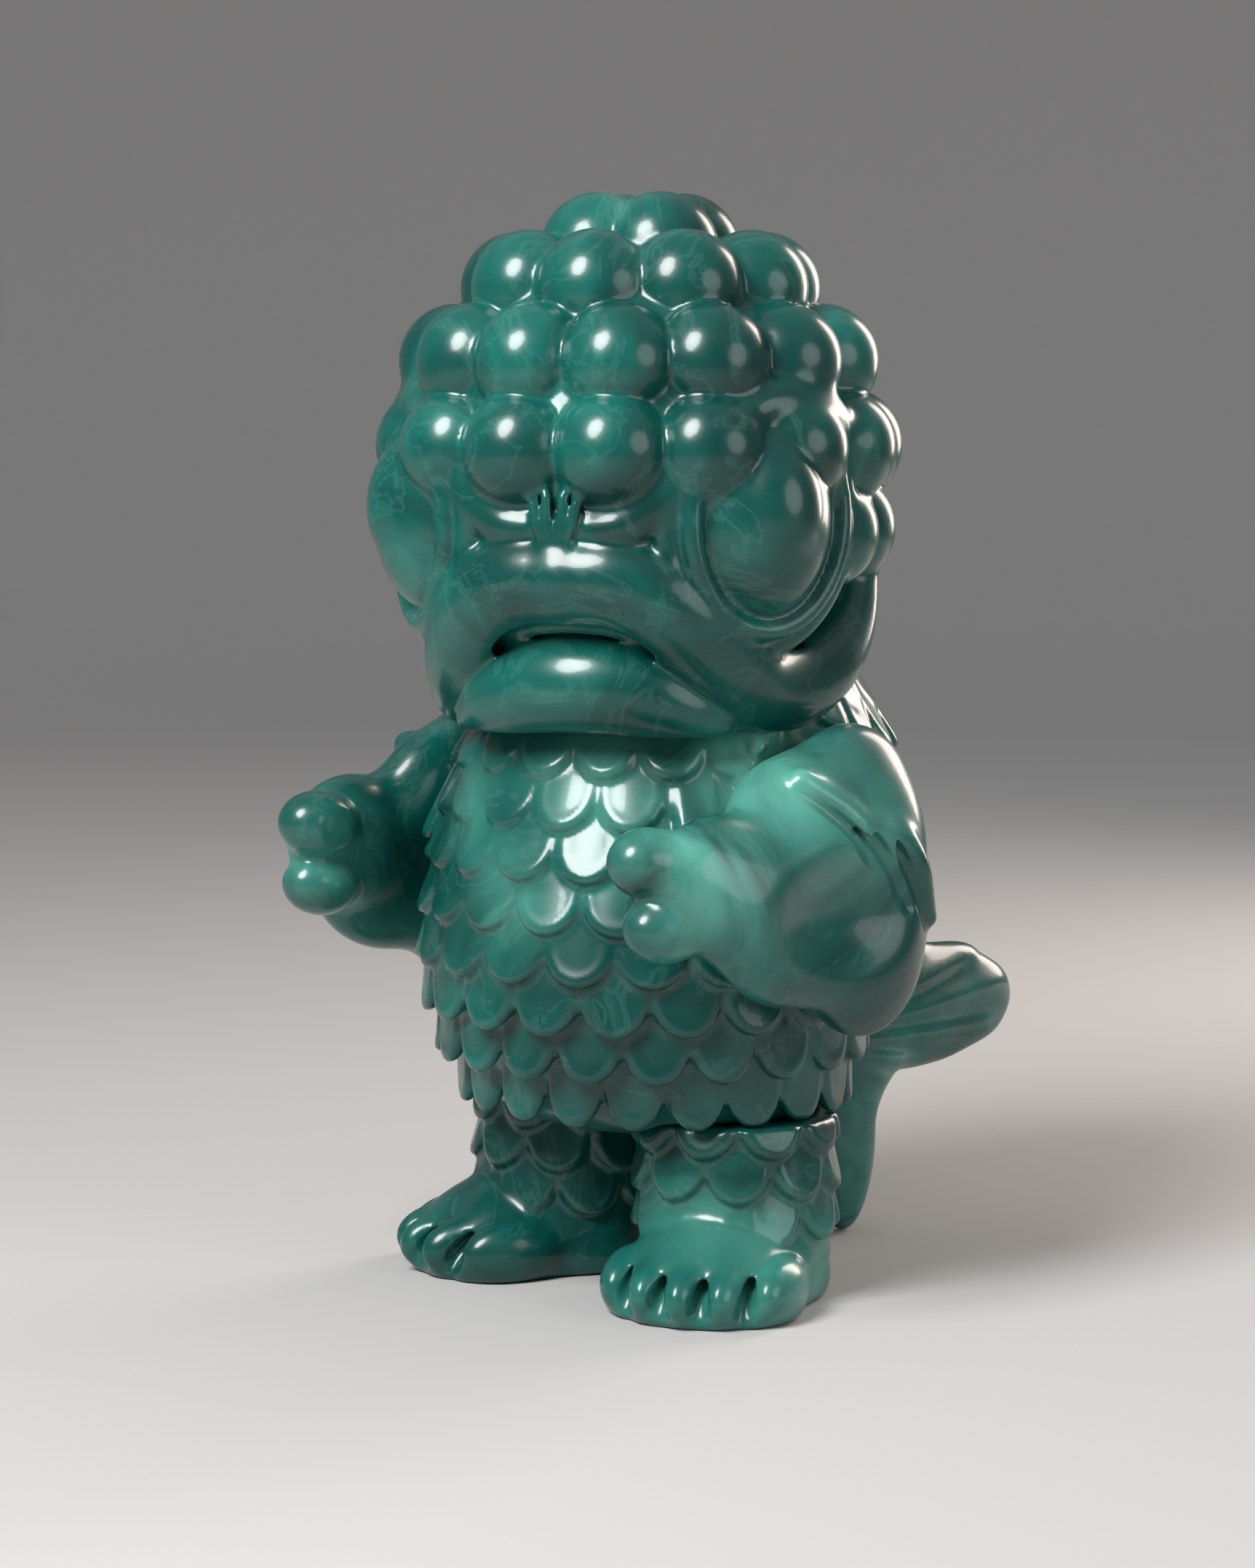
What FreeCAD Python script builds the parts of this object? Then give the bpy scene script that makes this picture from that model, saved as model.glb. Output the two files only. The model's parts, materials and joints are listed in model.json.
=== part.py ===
"""A hollow soft-vinyl figure of a standing fish creature, in seven moulded pieces.

Millimetres, +Z up. The figure faces -Y and its left side is +X. The origin is on the floor, at the
middle of the figure's bounding box. Lengths below are first laid out from the neck's axis, and the
finished pieces are then moved by the sheet's neck_y, so that the box is centred.
Each limb snaps into the torso with a grooved plug: a tube through the torso's wall and a flange inside.
"""

import FreeCAD, Part
import math
import os

App = FreeCAD
doc = App.newDocument("vinyl_figure")

# Driving dimensions, in millimetres and degrees. Each one becomes a named cell of the sheet.
SIZES = {
    "wall": 2.6,
    "neck_y": -26.0,
    "face_gap": 0.3,
    "fit_gap": 0.06,
    "flange_width": 2.2,
    "flange_depth": 2.5,
    "skull_half_width": 40.5,
    "skull_half_depth": 42.0,
    "skull_half_height": 41.0,
    "skull_y": -6.5,
    "skull_z": 151.0,
    "head_turn": 24.0,
    "bubble": 10.4,
    "bubble_seat": 0.905,
    "neck_z": 104.0,
    "neck_plug": 15.0,
    "neck_seat": 24.0,
    "base_radius": 32.5,
    "base_z": 26.0,
    "belly_radius": 41.6,
    "belly_z": 70.0,
    "collar_radius": 32.0,
    "collar_z": 116.0,
    "back_lean": 4.5,
    "shoulder_x": 36.0,
    "shoulder_y": 1.0,
    "shoulder_z": 91.0,
    "shoulder_plug": 8.0,
    "shoulder_seat": 14.0,
    "shoulder_room": 15.0,
    "hip_x": 21.0,
    "hip_z": 34.0,
    "hip_plug": 9.0,
    "leg_radius": 18.6,
    "toe_out": 24.0,
    "tail_y": 37.0,
    "tail_z": 44.0,
    "tail_plug": 4.8,
    "tail_seat": 9.5,
}

# Lobes of the left arm from the neck's axis: name, centre and half sizes.
ARM_LOBES = (
    ("shoulder", (46.5, 2, 91), (9, 15, 15)),
    ("upper_arm", (50.5, -4, 80), (8.6, 21, 18)),
    ("elbow", (53, 2, 67), (7.6, 16, 16)),
    ("forearm", (52, -17, 74), (7.8, 21, 16)),
    ("palm", (47.5, -33, 81), (7.8, 14, 12)),
    ("upper_finger", (43, -44, 84), (6.5, 7, 6.5)),
    ("lower_finger", (44.5, -42, 73), (6, 7, 6)),
)

# Rows of bubbles on the skull: elevation, how many go all the way round, the half angle at the front
# that the face leaves free, and how far the row is turned, in steps between two of its bubbles.
BUBBLE_ROWS = (
    (-40, 10, 95, 0.5),
    (-17, 13, 70, 0),
    (5, 14, 0, 0.5),
    (28, 13, 0, 0.5),
    (53, 9, 0, 0),
    (77, 4, 0, 0.5),
)

# Lobes of the tail fin from the neck's axis: name, centre, half sizes and tilt about the sideways axis.
TAIL_LOBES = (
    ("root", (0, 47, 43), (6.8, 11, 12), 0),
    ("upper_lobe", (0, 79, 44), (5.6, 26, 9.5), -7),
    ("upper_edge", (0, 66, 44), (6.0, 20, 10), 0),
    ("lower_lobe", (0, 54, 20), (5.4, 20, 7.5), 90),
    ("fork", (0, 56, 33), (5.8, 10, 9), 0),
)


def make_sheet():
    """Writes the driving dimensions into a sheet, one named cell each."""
    cells = doc.addObject("Spreadsheet::Sheet", "sizes")
    for row, (name, value) in enumerate(SIZES.items(), start=1):
        cells.set(f"A{row}", name)
        cells.set(f"B{row}", str(value))
        cells.setAlias(f"B{row}", name)
    doc.recompute()
    return cells


sheet = make_sheet()


def bind(item, rules):
    """Ties an object's properties to expressions of the sheet's cells."""
    for prop, rule in rules.items():
        item.setExpression(prop, str(rule))
    return item


def place(item, x="0", y="0", z="0", axis=(0, 0, 1), angle="0"):
    """Puts an object at (x, y, z), turned about an axis. All but the axis are expressions."""
    item.Placement = App.Placement(App.Vector(), App.Rotation(App.Vector(*axis), 10))
    where = {"Placement.Base.x": x, "Placement.Base.y": y, "Placement.Base.z": z}
    return bind(item, {**where, "Placement.Rotation.Angle": angle})


def ellipsoid(name, centre, half, turn="0"):
    """An ellipsoid with half sizes along X, Y and Z, turned about the vertical."""
    item = doc.addObject("Part::Ellipsoid", name)
    item.Angle1 = -90
    item.Angle2 = 90
    item.Angle3 = 360
    bind(item, {"Radius2": half[0], "Radius3": half[1], "Radius1": half[2]})
    return place(item, *centre, angle=turn)


def cylinder(name, radius, length, start, axis=(0, 0, 1), angle="0"):
    """A cylinder that runs from its start point, along Z turned by angle about axis."""
    item = doc.addObject("Part::Cylinder", name)
    bind(item, {"Radius": radius, "Height": length})
    return place(item, *start, axis=axis, angle=angle)


def block(name, size, corner):
    """A box with its lowest corner given."""
    item = doc.addObject("Part::Box", name)
    bind(item, {"Length": size[0], "Width": size[1], "Height": size[2]})
    return place(item, *corner)


def fuse(name, pieces):
    item = doc.addObject("Part::MultiFuse", name)
    item.Shapes = pieces
    return item


def cut(name, base, tool):
    item = doc.addObject("Part::Cut", name)
    item.Base = base
    item.Tool = tool
    return item


def plug(name, radius, start, axis, angle):
    """A tube that crosses the neighbour's wall, and the flange that holds it there, both bored through."""
    reach = "sizes.wall + 2 * sizes.face_gap"
    length = f"{reach} + sizes.flange_depth"
    tube = cylinder(f"{name}_tube", radius, length, start, axis, angle)
    wider = f"{radius} + sizes.flange_width"
    flange = cylinder(f"{name}_flange", wider, "sizes.flange_depth", start, axis, angle)
    shift_along(flange, start, axis, angle, reach)
    return [tube, flange]


def shift_along(item, start, axis, angle, distance):
    """Moves an object along its own turned Z axis by an expression."""
    along = App.Rotation(App.Vector(*axis), float(angle)).multVec(App.Vector(0, 0, 1))
    parts = zip("xyz", start, along)
    return bind(item, {f"Placement.Base.{k}": f"{at} + {step:.6f} * ({distance})" for k, at, step in parts})


def bore(name, radius, start, axis, angle):
    """The way through a plug, from inside its own piece to beyond the flange."""
    length = "2 * sizes.wall + 2 * sizes.face_gap + sizes.flange_depth + 2"
    item = cylinder(name, f"{radius} - sizes.wall", length, start, axis, angle)
    return shift_along(item, start, axis, angle, "0 - sizes.wall - 1")


def seat_hole(name, radius, start, axis, angle):
    """The hole in a wall that a plug turns in, with a running fit."""
    length = "2 * sizes.wall + 2"
    item = cylinder(name, f"{radius} + sizes.fit_gap", length, start, axis, angle)
    return shift_along(item, start, axis, angle, "0 - sizes.wall - 1")


def finish_piece(item, label, angle="0"):
    """Names a finished piece and moves it from the neck's axis into the figure's frame."""
    item.Label = label
    place(item, y="sizes.neck_y", angle=angle)
    return item


def torso_body(name, inset):
    """A round body whose side is one arc, leaning back a little, drawn in by inset on every side."""
    low = SIZES["base_z"]
    high = SIZES["collar_z"] - inset
    start = App.Vector(SIZES["base_radius"] - inset, 0, low)
    belly = App.Vector(SIZES["belly_radius"] - inset, 0, SIZES["belly_z"])
    end = App.Vector(SIZES["collar_radius"] - inset, 0, high)
    side = Part.Arc(start, belly, end).toShape()
    top, bottom = App.Vector(0, 0, high), App.Vector(0, 0, low)
    corners = ((end, top), (top, bottom), (bottom, start))
    wire = Part.Wire([side] + [Part.makeLine(a, b) for a, b in corners])
    profile = doc.addObject("Part::Feature", f"{name}_profile")
    profile.Shape = Part.Face(wire)
    turned = doc.addObject("Part::Revolution", f"{name}_turned")
    turned.Source = profile
    turned.Axis = App.Vector(0, 0, 1)
    turned.Base = App.Vector(0, 0, 0)
    turned.Angle = 360
    turned.Solid = True
    lean = App.Rotation(App.Vector(1, 0, 0), -SIZES["back_lean"])
    turned.Placement = App.Placement(App.Vector(), lean, App.Vector(0, 0, SIZES["hip_z"]))
    bottom_z = f"sizes.hip_z + {inset}"
    under = block(f"{name}_under", ("120", "120", "40"), ("-60", "-60", f"{bottom_z} - 40"))
    return cut(name, turned, under)


SIDEWAYS = (0, 1, 0)
OUTWARD = (1, 0, 0)


def shoulder_at(side, gap="0"):
    """The middle of a shoulder's seat, side +1 for the left, with a gap outwards."""
    return (f"{side} * (sizes.shoulder_x + {gap})", "sizes.shoulder_y", "sizes.shoulder_z")


def hip_at(side, gap="0"):
    return (f"{side} * sizes.hip_x", "0", f"sizes.hip_z - {gap}")


def torso_seats(grow):
    """Flat discs behind the five openings, a wall thick, for the limbs to turn against."""
    wall = "sizes.wall"
    seats = []
    for side in (1, -1):
        radius = f"sizes.shoulder_seat + {grow}"
        shoulder = cylinder("shoulder_seat", radius, wall, shoulder_at(side), SIDEWAYS, str(-90 * side))
        seats.append(shoulder)
    tail = cylinder("tail_seat", f"sizes.tail_seat + {grow}", wall, TAIL_START, OUTWARD, "90")
    neck_start = ("0", "0", "sizes.neck_z - sizes.wall")
    neck = cylinder("neck_seat", f"sizes.neck_seat + {grow}", wall, neck_start)
    return seats + [tail, neck]


TAIL_START = ("0", "sizes.tail_y", "sizes.tail_z")


def torso_clearances():
    """What is cut off outside the seats: flats for the arms and tail, and the bowl that the head sits in."""
    room = "20"
    cuts = []
    for side in (1, -1):
        radius = "sizes.shoulder_room"
        cuts.append(cylinder("shoulder_flat", radius, room, shoulder_at(side), SIDEWAYS, str(90 * side)))
    cuts.append(cylinder("tail_flat", "sizes.tail_seat + 1", room, TAIL_START, OUTWARD, "-90"))
    bowl = doc.addObject("Part::Cone", "head_bowl")
    bind(bowl, {"Radius1": "sizes.neck_seat", "Radius2": "sizes.neck_seat + 14", "Height": "16"})
    cuts.append(place(bowl, z="sizes.neck_z"))
    front = block("collar_front", ("120", "88", "40"), ("-60", "-78", "sizes.neck_z + 1"))
    slope = block("collar_slope", ("120", "70", "40"), ("-60", "6", "sizes.neck_z"))
    slope.Placement.Rotation = App.Rotation(App.Vector(1, 0, 0), 22)
    slope.setExpression("Placement.Rotation.Angle", "22")
    return cuts + [front, slope]


def torso_holes():
    holes = [seat_hole("neck_hole", "sizes.neck_plug - sizes.wall", ("0", "0", "sizes.neck_z"), OUTWARD, "0")]
    for side in (1, -1):
        start = shoulder_at(side)
        holes.append(seat_hole("shoulder_hole", "sizes.shoulder_plug", start, SIDEWAYS, str(90 * side)))
        holes.append(seat_hole("hip_hole", "sizes.hip_plug", hip_at(side), OUTWARD, "180"))
    holes.append(seat_hole("tail_hole", "sizes.tail_plug", TAIL_START, OUTWARD, "-90"))
    return holes


def make_torso():
    """The hollow body with its five openings, and the neck plug that holds the head."""
    outer = fuse("torso_outer", [torso_body("torso_skin", 0)] + torso_seats("0"))
    hollow = torso_body("torso_hollow", SIZES["wall"])
    walls = torso_seats("0.01")
    outer_trimmed = cut("torso_trimmed", outer, fuse("torso_clearances", torso_clearances()))
    inside = cut("torso_inside", hollow, fuse("torso_walls", walls + torso_guards()))
    shell = cut("torso_hollowed", outer_trimmed, inside)
    neck = plug("neck_plug", "sizes.neck_plug", ("0", "0", "sizes.neck_z"), OUTWARD, "0")
    whole = fuse("torso_with_neck", [shell] + neck)
    neck_bore = bore("neck_bore", "sizes.neck_plug", ("0", "0", "sizes.neck_z"), OUTWARD, "0")
    pierced = cut("torso_pierced", whole, fuse("torso_holes", torso_holes() + [neck_bore]))
    return finish_piece(pierced, "torso_shell")


def torso_guards():
    """Keeps the hollow a wall away from every flat outside the seats."""
    room = "20"
    guards = []
    for side in (1, -1):
        start = shoulder_at(side, "0 - sizes.wall")
        radius = "sizes.shoulder_room + sizes.wall"
        guards.append(cylinder("shoulder_guard", radius, room, start, SIDEWAYS, str(90 * side)))
    tail_start = ("0", "sizes.tail_y - sizes.wall", "sizes.tail_z")
    tail_room = "sizes.tail_seat + 1 + sizes.wall"
    guards.append(cylinder("tail_guard", tail_room, room, tail_start, OUTWARD, "-90"))
    guards.append(block("top_guard", ("120", "120", "40"), ("-60", "-60", "sizes.neck_z - sizes.wall")))
    return guards


def bubble_centres():
    """Unit directions of the bubbles, row by row."""
    directions = []
    for elevation, count, free_front, offset in BUBBLE_ROWS:
        rise = math.sin(math.radians(elevation))
        flat = math.cos(math.radians(elevation))
        for step in range(count):
            turn = 360.0 * (step + offset) / count
            from_front = min(turn, 360 - turn)
            if from_front < free_front:
                continue
            across = math.sin(math.radians(turn))
            ahead = math.cos(math.radians(turn))
            directions.append((flat * across, -flat * ahead, rise))
    return directions


def skull_point(direction, share):
    """Where a direction from the skull's middle meets the skull, as a share of the way out."""
    across, back, rise = (share * part for part in direction)
    return (
        f"{across:.5f} * sizes.skull_half_width",
        f"sizes.skull_y + {back:.5f} * sizes.skull_half_depth",
        f"sizes.skull_z + {rise:.5f} * sizes.skull_half_height",
    )


def lip(name, ring, tube, centre, tilt, sweep):
    """A thick lip: part of a ring about the face, tilted so that its corners droop, with round ends."""
    item = doc.addObject("Part::Torus", name)
    bind(item, {"Radius1": ring, "Radius2": tube})
    item.Angle3 = 2 * sweep
    spin = App.Rotation(App.Vector(0, 0, 1), -90 - sweep)
    lean = App.Rotation(App.Vector(1, 0, 0), tilt)
    item.Placement = App.Placement(App.Vector(0, centre[0], centre[1]), lean * spin)
    pieces = [item]
    for side in (1, -1):
        turn = math.radians(sweep)
        end = App.Vector(side * ring * math.sin(turn), -ring * math.cos(turn), 0)
        at = lean.multVec(end) + App.Vector(0, centre[0], centre[1])
        size = (str(1.07 * tube),) * 3
        pieces.append(ellipsoid(f"{name}_corner", (str(at.x), str(at.y), str(at.z)), size))
    return pieces


def make_head():
    """Skull, bubbles, side eyes, brow and lips in one hollow piece, with a hole for the neck plug."""
    middle = ("0", "sizes.skull_y", "sizes.skull_z")
    half = ("sizes.skull_half_width", "sizes.skull_half_depth", "sizes.skull_half_height")
    pieces = [ellipsoid("skull", middle, half)]
    pieces.append(ellipsoid("muzzle", ("0", "-15", "129"), ("32", "27", "21")))
    for number, direction in enumerate(bubble_centres()):
        round_size = ("sizes.bubble",) * 3
        seam = str(37 * number)
        centre = skull_point(direction, SIZES["bubble_seat"])
        pieces.append(ellipsoid("bubble", centre, round_size, turn=seam))
    for side in (1, -1):
        eye_at = (f"{side * 30.5}", "-27", "139")
        pieces.append(ellipsoid("eye", eye_at, ("12", "9.5", "16.5"), turn=str(side * 55)))
    pieces += lip("upper_lip", 32, 8.2, (-12.5, 111), -34, 76)
    pieces += lip("lower_lip", 20, 7.6, (-18, 111.6), -14, 62)
    base_start = ("0", "0", "sizes.neck_z + sizes.face_gap")
    base = cylinder("jaw_base", "sizes.neck_seat - 0.5", "16", base_start)
    solid = fuse("head_solid", pieces + [base])
    inner_half = [f"{size} - sizes.wall" for size in half]
    hollow = [ellipsoid("skull_hollow", middle, inner_half)]
    hollow.append(ellipsoid("muzzle_hollow", ("0", "-15", "129"), ("29.4", "24.4", "18.4")))
    jaw_inside = "sizes.neck_z + sizes.face_gap + sizes.wall"
    hollow.append(cylinder("jaw_hollow", "sizes.neck_seat - 3.1", "20", ("0", "0", jaw_inside)))
    floor_start = ("-70", "-70", f"{jaw_inside} - 40")
    floor = block("head_floor", ("140", "140", "40"), floor_start)
    inside = cut("head_inside", fuse("head_hollows", hollow), floor)
    shell = cut("head_hollowed", solid, inside)
    hole = seat_hole("head_hole", "sizes.neck_plug", base_start, OUTWARD, "0")
    return finish_piece(cut("head_pierced", shell, hole), "head_shell", angle="sizes.head_turn")


def make_arm():
    """The left arm: a thick flat flipper outside the belly, with two finger lobes in front."""
    lobes = []
    hollows = []
    for name, middle, half in ARM_LOBES:
        centre = [str(at) for at in middle]
        lobes.append(ellipsoid(name, centre, [str(size) for size in half], turn="180"))
        inner = [f"{size} - sizes.wall" for size in half]
        hollows.append(ellipsoid(f"{name}_hollow", centre, inner, turn="180"))
    start = shoulder_at(1, "sizes.face_gap")
    disc = cylinder("arm_disc", "sizes.shoulder_seat - 0.5", "10", start, SIDEWAYS, "90")
    inner_side = "sizes.shoulder_x + sizes.face_gap"
    torso_side = block("torso_side", ("40", "140", "120"), (f"{inner_side} - 40", "-70", "20"))
    thick_start = (f"{inner_side} + sizes.wall - 40", "-70", "20")
    thick_side = block("thick_side", ("40", "140", "120"), thick_start)
    outer = cut("arm_trimmed", fuse("arm_solid", lobes + [disc]), torso_side)
    inside = cut("arm_inside", fuse("arm_hollows", hollows), thick_side)
    shell = cut("arm_hollowed", outer, inside)
    stem = plug("arm_plug", "sizes.shoulder_plug", start, SIDEWAYS, "-90")
    whole = fuse("arm_with_plug", [shell] + stem)
    way = bore("arm_bore", "sizes.shoulder_plug", start, SIDEWAYS, "-90")
    return finish_piece(cut("arm_bored", whole, way), "left_arm_shell")


def foot_lobes(inset):
    """The left foot's lobes about the leg's axis: heel, arch and toe fan, then the toes."""
    lobes = [("heel", 0, 0, 17.5, 17.5, 12), ("arch", 0, -11, 16.5, 17, 13), ("fan", 0, -18, 18, 14, 9)]
    if inset == "0":
        for step in range(5):
            across = (step - 2) * 7.0
            lobes.append(("toe", across, -27 + 0.035 * across * across, 4.6, 6.0, 5.6))
    cosine = math.cos(math.radians(SIZES["toe_out"]))
    sine = math.sin(math.radians(SIZES["toe_out"]))
    made = []
    for name, across, along, wide, deep, high in lobes:
        ahead = f"{across * sine + along * cosine:.5f}"
        at = (f"sizes.hip_x + {across * cosine - along * sine:.5f}", ahead, "5")
        half = [f"{size} - {inset}" for size in (wide, deep, high)]
        made.append(ellipsoid(f"{name}_lobe", at, half, turn="sizes.toe_out"))
    return made


def make_leg():
    """The left leg: short and round on a broad foot, with a flat sole and a plug on top for the hip."""
    start = hip_at(1, "sizes.face_gap")
    height = "sizes.hip_z - sizes.face_gap"
    shin = cylinder("shin", "sizes.leg_radius", f"{height} - 8", ("sizes.hip_x", "0", "8"))
    under = block("under_floor", ("160", "160", "30"), ("-80", "-80", "-30"))
    outer = cut("leg_trimmed", fuse("leg_solid", [shin] + foot_lobes("0")), under)
    inner_start = ("sizes.hip_x", "0", "sizes.wall")
    inner_height = f"{height} - 2 * sizes.wall"
    shin_inside = cylinder("shin_hollow", "sizes.leg_radius - sizes.wall - 1.5", inner_height, inner_start)
    thick_sole = block("thick_sole", ("160", "160", "30"), ("-80", "-80", "sizes.wall - 30"))
    hollow = fuse("leg_hollows", [shin_inside] + foot_lobes("sizes.wall"))
    shell = cut("leg_hollowed", outer, cut("leg_inside", hollow, thick_sole))
    stem = plug("leg_plug", "sizes.hip_plug", start, OUTWARD, "0")
    whole = fuse("leg_with_plug", [shell] + stem)
    way = bore("leg_bore", "sizes.hip_plug", start, OUTWARD, "0")
    return finish_piece(cut("leg_bored", whole, way), "left_leg_shell")


def fin_lobe(name, centre, half, tilt):
    """An ellipsoid of the fin, tilted about the sideways axis."""
    item = ellipsoid(name, [str(at) for at in centre], half)
    item.Placement.Rotation = App.Rotation(App.Vector(1, 0, 0), 10)
    return bind(item, {"Placement.Rotation.Angle": str(tilt)})


def make_tail():
    """A flat forked fin: the upper lobe points back and the lower one stands on the floor."""
    lobes = []
    hollows = []
    for name, centre, half, tilt in TAIL_LOBES:
        lobes.append(fin_lobe(name, centre, [str(size) for size in half], tilt))
        inner = [f"{size} - sizes.wall" for size in half]
        hollows.append(fin_lobe(f"{name}_hollow", centre, inner, tilt))
    start = ("0", "sizes.tail_y + sizes.face_gap", "sizes.tail_z")
    disc = cylinder("tail_disc", "sizes.tail_seat - 0.5", "8", start, OUTWARD, "-90")
    inner_side = "sizes.tail_y + sizes.face_gap"
    torso_side = block("tail_torso_side", ("60", "40", "90"), ("-30", f"{inner_side} - 40", "0"))
    thick = block("tail_thick_side", ("60", "40", "90"), ("-30", f"{inner_side} + sizes.wall - 40", "0"))
    outer = cut("tail_trimmed", fuse("tail_solid", lobes + [disc]), torso_side)
    inside = cut("tail_inside", fuse("tail_hollows", hollows), thick)
    shell = cut("tail_hollowed", outer, inside)
    stem = plug("tail_plug", "sizes.tail_plug", start, OUTWARD, "90")
    whole = fuse("tail_with_plug", [shell] + stem)
    way = bore("tail_bore", "sizes.tail_plug", start, OUTWARD, "90")
    return finish_piece(cut("tail_bored", whole, way), "tail_shell")


def check_and_write(pieces):
    """Stops on any failed object or bad solid, then writes one STEP file for each piece."""
    doc.recompute()
    failed = [item.Name for item in doc.Objects if {"Invalid", "Error"} & set(item.State)]
    if failed:
        raise SystemExit(f"these objects failed: {failed}")
    os.makedirs("parts", exist_ok=True)
    box = App.BoundBox()
    for piece in pieces:
        shape = piece.Shape
        if shape.isNull() or not shape.isValid() or len(shape.Solids) != 1:
            raise SystemExit(f"{piece.Label} is not one valid solid")
        shape.exportStep(f"parts/{piece.Label}.step")
        tight = shape.optimalBoundingBox(False)
        box.add(tight)
        print(f"{piece.Label:18s} {shape.Volume / 1000:7.2f} cm3  {tight}")
    print("whole figure", box)


def mirrored(piece):
    """The right limb: the left one reflected in the figure's middle plane."""
    item = doc.addObject("Part::Mirroring", "right_limb")
    item.Source = piece
    item.Base = App.Vector(0, 0, 0)
    item.Normal = App.Vector(1, 0, 0)
    item.Label = piece.Label.replace("left", "right")
    return item


left_arm = make_arm()
left_leg = make_leg()
figure = [make_torso(), make_head(), left_arm, mirrored(left_arm), left_leg, mirrored(left_leg), make_tail()]
check_and_write(figure)
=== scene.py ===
"""The looks of a glossy, marbled soft-vinyl fish creature figure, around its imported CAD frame.

Each moulded piece is sculpted as a field of distances from its surface, in millimetres from the neck's
axis, then turned into a mesh, put in its place in metres and ridden on its CAD body.
"""

import json
import math

import bpy
import numpy as np
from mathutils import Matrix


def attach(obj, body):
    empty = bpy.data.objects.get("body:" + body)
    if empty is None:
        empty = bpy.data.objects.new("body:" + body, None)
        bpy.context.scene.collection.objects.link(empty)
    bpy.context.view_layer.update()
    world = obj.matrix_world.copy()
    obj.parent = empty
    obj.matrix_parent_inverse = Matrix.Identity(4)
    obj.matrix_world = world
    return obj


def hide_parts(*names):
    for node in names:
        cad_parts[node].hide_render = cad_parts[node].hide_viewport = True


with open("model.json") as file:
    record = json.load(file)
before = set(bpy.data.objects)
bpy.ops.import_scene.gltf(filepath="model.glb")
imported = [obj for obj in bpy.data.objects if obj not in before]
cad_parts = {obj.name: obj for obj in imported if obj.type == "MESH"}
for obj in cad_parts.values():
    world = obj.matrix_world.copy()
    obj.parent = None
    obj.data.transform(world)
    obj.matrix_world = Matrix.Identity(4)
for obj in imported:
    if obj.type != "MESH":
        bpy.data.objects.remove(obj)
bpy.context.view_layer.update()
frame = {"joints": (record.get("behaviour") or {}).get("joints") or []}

import openvdb
from mathutils import Vector

MM = 0.001
UP = np.array((0.0, 0.0, 1.0))
PLAIN_AXES = ((1, 0, 0), (0, 1, 0), (0, 0, 1))

# Size of a sculpting cell, and the distance that stands for empty space.
CELL = 0.6
FAR = 60.0

JOINTS = {joint["name"]: joint for joint in frame["joints"]}
NECK = np.array(JOINTS["head_turn"]["pos_m"]) / MM
HIP = np.array(JOINTS["left_hip_turn"]["pos_m"]) / MM
SHOULDER = np.array(JOINTS["left_shoulder_turn"]["pos_m"]) / MM
TAIL_ROOT = np.array(JOINTS["tail_turn"]["pos_m"]) / MM
NECK_Y = NECK[1]
# Room left between pieces that turn against each other.
GAP = 0.3

HEAD_TURN = 24.0
EYE_TURN = 52.0
EYE_Z = 142.5
SKULL_MIDDLE = np.array((0.0, -6.5, 151.0))
SKULL_HALF = np.array((40.5, 42.0, 42.5))
BUBBLE = 10.4
BUBBLE_SEAT = 0.925
# Elevation, how many go round, the half angle left free in front, and the row's turn in steps.
BUBBLE_ROWS = (
    (-40, 10, 95, 0.5),
    (-17, 13, 70, 0),
    (5, 14, 0, 0.5),
    (28, 13, 0, 0.5),
    (53, 9, 0, 0),
    (77, 4, 0, 0.5),
)

# The torso's cross-sections under its scales: height, half width, half depth and the middle's y.
TORSO_RINGS = (
    (28, 31.0, 24.0, 0.5),
    (34, 34.0, 29.0, 0.5),
    (41, 36.4, 34.0, 0.5),
    (50, 38.4, 38.8, 0),
    (60, 39.8, 42.0, -0.5),
    (69, 40.0, 42.5, 0.5),
    (79, 39.4, 42.0, 1.5),
    (89, 38.0, 40.5, 3),
    (98, 36.4, 38.5, 4.5),
    (107, 34.0, 35.5, 5.5),
    (116, 31.0, 32.5, 6),
)
SKIRT_Z = 30.5

SCALE_STEP = 8.8
SCALE_ROWS = 9
SCALES_ROUND = 20
FIRST_SCALES_Z = 37.5
MANE_ROWS = 3
MANE_STEP = 8.5
MANE_Z = 106

# Radii of the flats and hollows that the limbs turn in.
HIP_ROOM = 19.8
SHOULDER_ROOM = 15.0
TAIL_ROOM = 10.0


def unit(vector):
    """The vector scaled to length one."""
    vector = np.asarray(vector, float)
    return vector / np.linalg.norm(vector)


def axes_from(outward, downward):
    """Rows across, along and out of a patch of surface: along is downward laid flat on it."""
    out = unit(outward)
    along = unit(np.asarray(downward, float) - np.dot(downward, out) * out)
    return np.array((np.cross(along, out), along, out))


def turned(degrees):
    """Rows of a frame turned about the vertical."""
    c, s = math.cos(math.radians(degrees)), math.sin(math.radians(degrees))
    return np.array(((c, s, 0), (-s, c, 0), (0, 0, 1)))


def tipped(degrees):
    """Rows of a frame tipped about the sideways axis."""
    c, s = math.cos(math.radians(degrees)), math.sin(math.radians(degrees))
    return np.array(((1, 0, 0), (0, c, s), (0, -s, c)))


def soft_min(a, b, blend):
    """The nearer of two distances, with the corner between them filled over blend millimetres."""
    if blend <= 0:
        return np.minimum(a, b)
    overlap = np.maximum(blend - np.abs(a - b), 0) / blend
    return np.minimum(a, b) - overlap * overlap * blend * 0.25


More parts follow.
